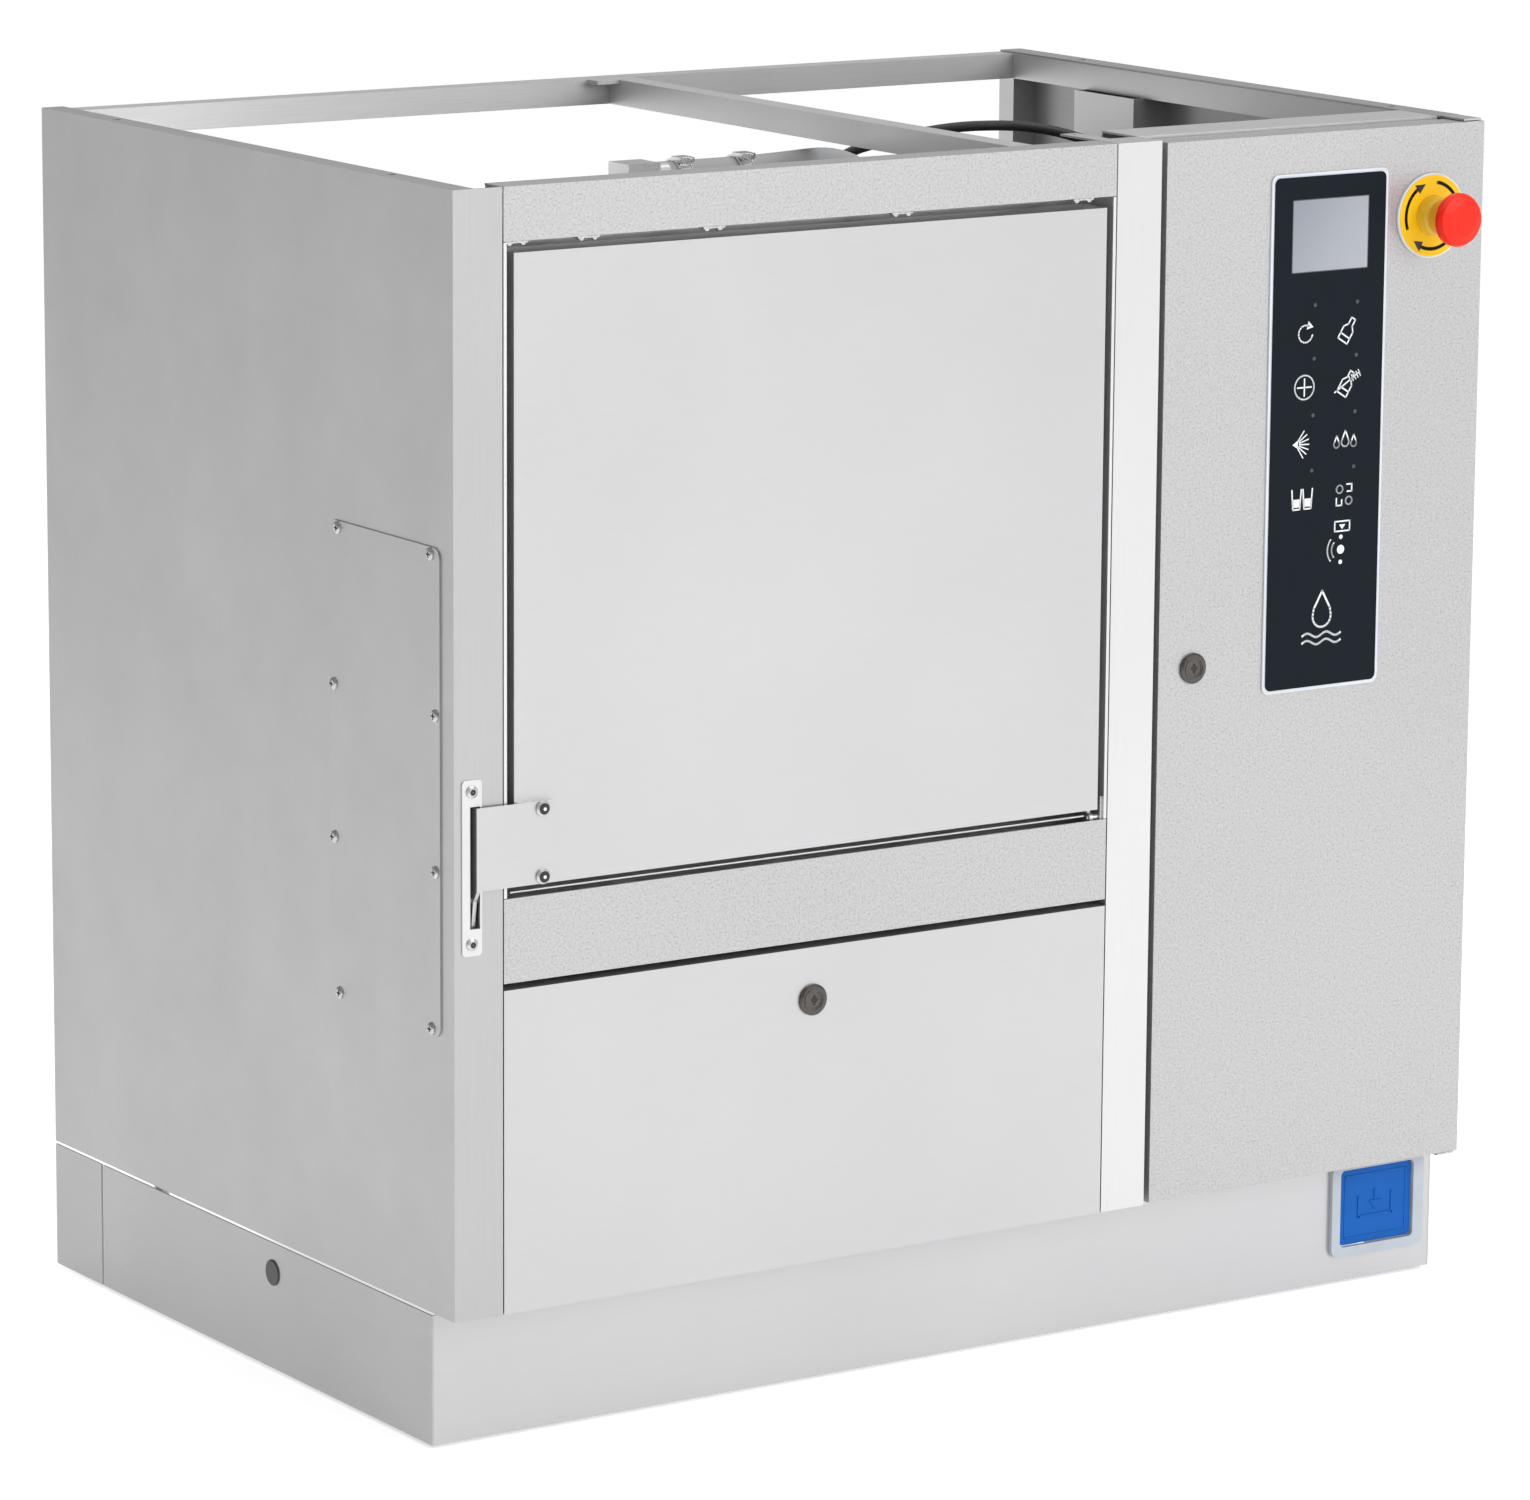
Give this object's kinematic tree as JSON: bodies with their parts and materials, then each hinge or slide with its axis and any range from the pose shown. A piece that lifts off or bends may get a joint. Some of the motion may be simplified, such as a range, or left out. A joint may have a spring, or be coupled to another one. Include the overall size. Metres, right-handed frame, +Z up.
{
  "type": "glass washer machine",
  "caption": "Stainless steel commercial washer with a bottom-hinged wash door, service flap, side-hinged control door with keypad and emergency button, and a foot pedal.",
  "frame": {"origin": "on the floor under the middle of the machine's width and of its overall depth", "axes": "+X to the machine's right seen from the front, +Y to its back, +Z up"},
  "size_m": [0.9044, 0.68, 0.9],
  "materials": {
    "casing_steel": "brushed, satin",
    "front_steel": "fine satin",
    "speckled_steel": "fine leather-grain satin",
    "frame_steel": "mill finish",
    "chamber_steel": "polished",
    "wire_steel": "electropolished wire",
    "fixings": "plain",
    "zinc": "dark die-cast zinc",
    "seal_rubber": "moulded",
    "hose_rubber": "ribbed",
    "cable_black": "sheathed",
    "drive_metal": "dark grey paint",
    "pump_metal": "blue-grey paint",
    "impeller_plastic": "moulded",
    "tank_plastic": "natural polypropylene",
    "float_plastic": "moulded",
    "canister_plastic": "natural polyethylene",
    "valve_plastic": "moulded",
    "pump_plastic": "moulded",
    "electrics": "moulded",
    "boiler_steel": "satin",
    "drain_plastic": "moulded",
    "keypad_light": "satin light grey-blue",
    "keypad_dark": "satin dark film",
    "button_dark": "moulded",
    "button_red": "moulded",
    "pedal_grey": "moulded",
    "pedal_blue": "textured",
    "plug_grey": "moulded"
  },
  "bodies": {
    "cabinet": {"top_frame": "frame_steel", "rear_posts": "frame_steel", "middle_post": "front_steel", "control_top_rail": "frame_steel", "left_side_panel": "casing_steel", "left_access_panel": "casing_steel", "right_side_panel": "casing_steel", "rear_panel": "casing_steel", "base_plate": "casing_steel", "plinth_front": "front_steel", "plinth_sides": "casing_steel", "plinth_plugs": "plug_grey", "levelling_feet": "fixings", "top_fascia": "speckled_steel", "lower_fascia": "speckled_steel", "slot_escutcheon": "front_steel", "panel_screws": "fixings", "door_frame": "frame_steel", "door_gasket": "seal_rubber", "door_pivots": "fixings", "door_gearmotor": "drive_metal", "wash_chamber": "chamber_steel", "sump_strainer": "chamber_steel", "spray_nozzles": "chamber_steel", "steam_hose": "hose_rubber", "wiring_cable": "cable_black", "wash_pump": "pump_metal", "water_hoses": "hose_rubber", "drain_pipe": "drain_plastic", "inlet_valves": "valve_plastic", "water_tank": "tank_plastic", "steam_generator": "boiler_steel", "control_electronics": "electrics", "detergent_canisters": "canister_plastic", "dosing_pumps": "pump_plastic", "flap_pivots": "fixings", "control_door_hinges": "fixings", "pedal_frame": "pedal_grey"},
    "wash_door": {"door_outer_panel": "front_steel", "door_inner_liner": "chamber_steel", "door_arm": "front_steel", "door_arm_screws": "fixings", "utensil_rack": "wire_steel"},
    "drive_crank": {"door_crank": "fixings"},
    "drive_link": {"door_link": "fixings"},
    "spray_rotor": {"spray_arm": "chamber_steel"},
    "pump_spindle": {"pump_rotor": "impeller_plastic"},
    "float": {"tank_float": "float_plastic"},
    "service_flap_body": {"service_flap": "front_steel", "flap_lock": "zinc"},
    "flap_cam": {"flap_lock_cam": "zinc"},
    "control_door_body": {"control_door": "speckled_steel", "control_lock": "zinc", "keypad_bezel": "keypad_light", "keypad_overlay": "keypad_dark", "emergency_collar": "button_dark"},
    "control_cam": {"control_lock_cam": "zinc"},
    "stop_plunger": {"emergency_plunger": "button_dark"},
    "stop_head": {"emergency_head": "button_red"},
    "pedal": {"foot_pedal": "pedal_blue"}
  },
  "joints": [
    {"name": "wash_door_hinge", "type": "hinge", "parent": "cabinet", "child": "wash_door", "pos_m": [0, -0.294, 0.402], "axis": [1, 0, 0], "range_deg": [0, 90]},
    {"name": "drive_crank_turn", "type": "hinge", "parent": "cabinet", "child": "drive_crank", "pos_m": [-0.4325, -0.219, 0.502], "axis": [1, 0, 0], "range_deg": [0, 90]},
    {"name": "drive_link_swing", "type": "hinge", "parent": "drive_crank", "child": "drive_link", "pos_m": [-0.4285, -0.2151, 0.47427], "axis": [1, 0, 0], "range_deg": [-90, 0]},
    {"name": "spray_arm_spin", "type": "hinge", "parent": "cabinet", "child": "spray_rotor", "pos_m": [-0.15, -0.05525, 0.45], "axis": [0, 0, 1], "continuous": true},
    {"name": "pump_spin", "type": "hinge", "parent": "cabinet", "child": "pump_spindle", "pos_m": [-0.24, 0.04, 0.25], "axis": [1, 0, 0], "continuous": true},
    {"name": "float_rise", "type": "slide", "parent": "cabinet", "child": "float", "axis": [0, 0, 1], "range_m": [0, 0.055]},
    {"name": "service_flap_hinge", "type": "hinge", "parent": "cabinet", "child": "service_flap_body", "pos_m": [-0.15, -0.292, 0.109], "axis": [1, 0, 0], "range_deg": [0, 90]},
    {"name": "flap_lock_turn", "type": "hinge", "parent": "service_flap_body", "child": "flap_cam", "pos_m": [-0.15, -0.29, 0.297], "axis": [0, -1, 0], "range_deg": [0, 90]},
    {"name": "control_door_hinge", "type": "hinge", "parent": "cabinet", "child": "control_door_body", "pos_m": [0.442, -0.292, 0.5], "axis": [0, 0, 1], "range_deg": [0, 110]},
    {"name": "control_lock_turn", "type": "hinge", "parent": "control_door_body", "child": "control_cam", "pos_m": [0.186, -0.29, 0.5065], "axis": [0, 1, 0], "range_deg": [0, 90]},
    {"name": "stop_button_press", "type": "slide", "parent": "control_door_body", "child": "stop_plunger", "axis": [0, 1, 0], "range_m": [0, 0.005], "stiffness_N_per_m": 1500, "springref_m": -0.004},
    {"name": "stop_button_twist", "type": "hinge", "parent": "stop_plunger", "child": "stop_head", "pos_m": [0.4, -0.32, 0.83], "axis": [0, 1, 0], "range_deg": [0, 45], "stiffness_Nm_per_rad": 0.2, "springref_deg": -11.46},
    {"name": "foot_pedal_press", "type": "hinge", "parent": "cabinet", "child": "pedal", "pos_m": [0.3955, -0.26, 0.085], "axis": [1, 0, 0], "range_deg": [0, 8], "stiffness_Nm_per_rad": 6, "springref_deg": -11.46}
  ],
  "couplings": [
    {"joint": "drive_crank_turn", "follows": "wash_door_hinge", "ratio": 1},
    {"joint": "drive_link_swing", "follows": "wash_door_hinge", "ratio": -1}
  ]
}
